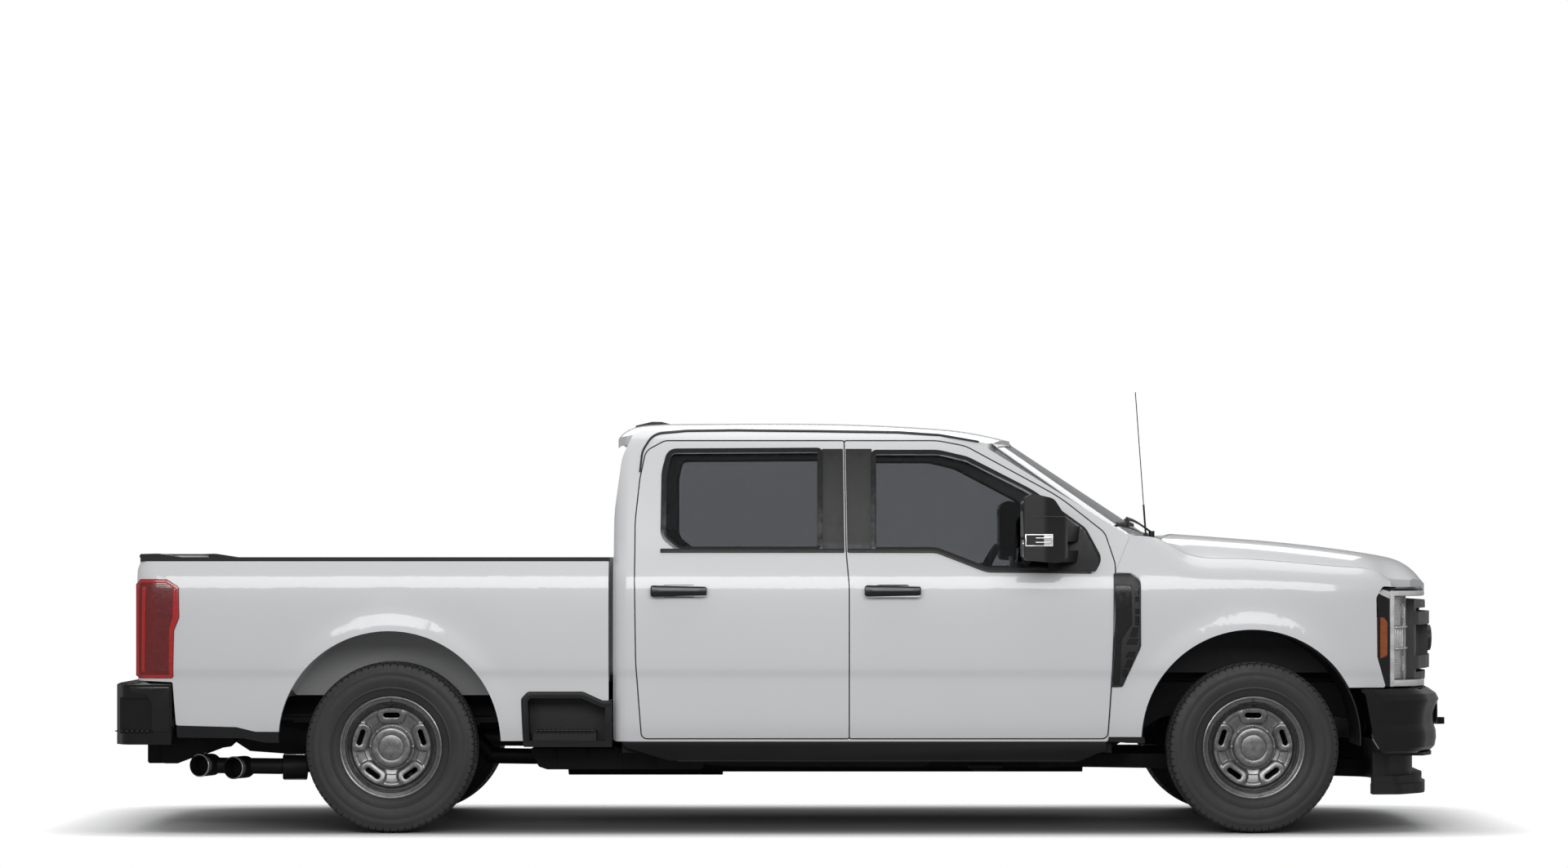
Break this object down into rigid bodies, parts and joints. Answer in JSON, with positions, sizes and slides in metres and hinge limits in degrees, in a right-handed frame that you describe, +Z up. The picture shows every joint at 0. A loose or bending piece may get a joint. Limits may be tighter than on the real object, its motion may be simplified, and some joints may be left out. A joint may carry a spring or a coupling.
{
  "type": "crew cab pickup truck",
  "caption": "Four-door crew cab pickup truck with an open load bed, solid axles on a ladder frame, steel wheels, tow mirrors and a step bumper.",
  "frame": {"origin": "on the ground at the middle of the truck's length and width", "axes": "+X forward, +Y to the truck's left, +Z up"},
  "size_m": [6.35, 2.69, 2.0799],
  "materials": {
    "body_paint": "gloss white paint",
    "inner_paint": "satin primer and white",
    "black_plastic": "grained black",
    "black_steel": "satin black powder coat",
    "grille_plastic": "dark grey moulded",
    "window_glass": "tinted",
    "wheel_steel": "grey metallic paint",
    "tyre": "matte rubber",
    "chassis_steel": "black wax coat",
    "cast_metal": "as cast",
    "exhaust_steel": "dull steel",
    "cabin_plastic": "grained dark grey",
    "seat_cloth": "woven dark grey cloth",
    "lamp_clear": "clear lens over silver",
    "lamp_red": "red lens"
  },
  "bodies": {
    "root": {"cab_sides": "body_paint", "cab_roof": "body_paint", "cab_back": "body_paint", "front_fenders": "body_paint", "box_sides": "body_paint", "cab_floor": "inner_paint", "firewall": "inner_paint", "box_floor": "inner_paint", "bed_rails": "black_plastic", "side_steps": "black_plastic", "fender_vents": "black_plastic", "roof_lamp": "black_plastic", "wheel_liners": "black_plastic", "air_dam": "black_plastic", "antenna": "black_plastic", "front_bumper": "black_steel", "rear_bumper": "black_steel", "grille": "grille_plastic", "windshield": "window_glass", "rear_glass": "window_glass", "frame": "chassis_steel", "tow_hooks": "chassis_steel", "hitch_receiver": "chassis_steel", "front_axle": "chassis_steel", "rear_axle": "chassis_steel", "leaf_springs": "chassis_steel", "front_suspension": "chassis_steel", "driveline": "cast_metal", "engine_block": "cast_metal", "radiator": "cast_metal", "fuel_tank": "black_plastic", "exhaust": "exhaust_steel", "dashboard": "cabin_plastic", "seats": "seat_cloth", "headlamps": "lamp_clear", "tail_lamps": "lamp_red", "stop_lamp": "lamp_red"},
    "door_front_left": {"door_front_left": "body_paint", "glass_front_left": "window_glass", "mirror_left": "black_plastic"},
    "door_front_right": {"door_front_right": "body_paint", "glass_front_right": "window_glass", "mirror_right": "black_plastic"},
    "door_rear_left": {"door_rear_left": "body_paint", "glass_rear_left": "window_glass"},
    "door_rear_right": {"door_rear_right": "body_paint", "glass_rear_right": "window_glass"},
    "hood": {"hood": "body_paint"},
    "tailgate": {"tailgate": "body_paint"},
    "steer_left": {"knuckle_left": "chassis_steel"},
    "steer_right": {"knuckle_right": "chassis_steel"},
    "wheel_front_left": {"rim_front_left": "wheel_steel", "tyre_front_left": "tyre"},
    "wheel_front_right": {"rim_front_right": "wheel_steel", "tyre_front_right": "tyre"},
    "wheel_rear_left": {"rim_rear_left": "wheel_steel", "tyre_rear_left": "tyre"},
    "wheel_rear_right": {"rim_rear_right": "wheel_steel", "tyre_rear_right": "tyre"}
  },
  "joints": [
    {"name": "steering_left", "type": "hinge", "parent": "root", "child": "steer_left", "pos_m": [2.191, 0.758, 0.403], "axis": [0, 0, 1], "range_deg": [-35, 35]},
    {"name": "steering_right", "type": "hinge", "parent": "root", "child": "steer_right", "pos_m": [2.191, -0.758, 0.403], "axis": [0, 0, 1], "range_deg": [-35, 35]},
    {"name": "wheel_front_left_spin", "type": "hinge", "parent": "steer_left", "child": "wheel_front_left", "pos_m": [2.191, 0.8675, 0.403], "axis": [0, 1, 0], "continuous": true},
    {"name": "wheel_front_right_spin", "type": "hinge", "parent": "steer_right", "child": "wheel_front_right", "pos_m": [2.191, -0.8675, 0.403], "axis": [0, 1, 0], "continuous": true},
    {"name": "wheel_rear_left_spin", "type": "hinge", "parent": "root", "child": "wheel_rear_left", "pos_m": [-1.868, 0.8545, 0.403], "axis": [0, 1, 0], "continuous": true},
    {"name": "wheel_rear_right_spin", "type": "hinge", "parent": "root", "child": "wheel_rear_right", "pos_m": [-1.868, -0.8545, 0.403], "axis": [0, 1, 0], "continuous": true},
    {"name": "door_front_left_hinge", "type": "hinge", "parent": "root", "child": "door_front_left", "pos_m": [1.536, 1.004, 1], "axis": [0, 0, -1], "range_deg": [0, 70]},
    {"name": "door_front_right_hinge", "type": "hinge", "parent": "root", "child": "door_front_right", "pos_m": [1.536, -1.004, 1], "axis": [0, 0, 1], "range_deg": [0, 70]},
    {"name": "door_rear_left_hinge", "type": "hinge", "parent": "root", "child": "door_rear_left", "pos_m": [0.286, 1.004, 1], "axis": [0, 0, -1], "range_deg": [0, 75]},
    {"name": "door_rear_right_hinge", "type": "hinge", "parent": "root", "child": "door_rear_right", "pos_m": [0.286, -1.004, 1], "axis": [0, 0, 1], "range_deg": [0, 75]},
    {"name": "hood_hinge", "type": "hinge", "parent": "root", "child": "hood", "pos_m": [1.757, 0, 1.418], "axis": [0, -1, 0], "range_deg": [0, 50]},
    {"name": "tailgate_hinge", "type": "hinge", "parent": "root", "child": "tailgate", "pos_m": [-3, 0, 0.785], "axis": [0, -1, 0], "range_deg": [0, 90]}
  ],
  "couplings": [
    {"joint": "steering_right", "follows": "steering_left", "ratio": 1}
  ]
}
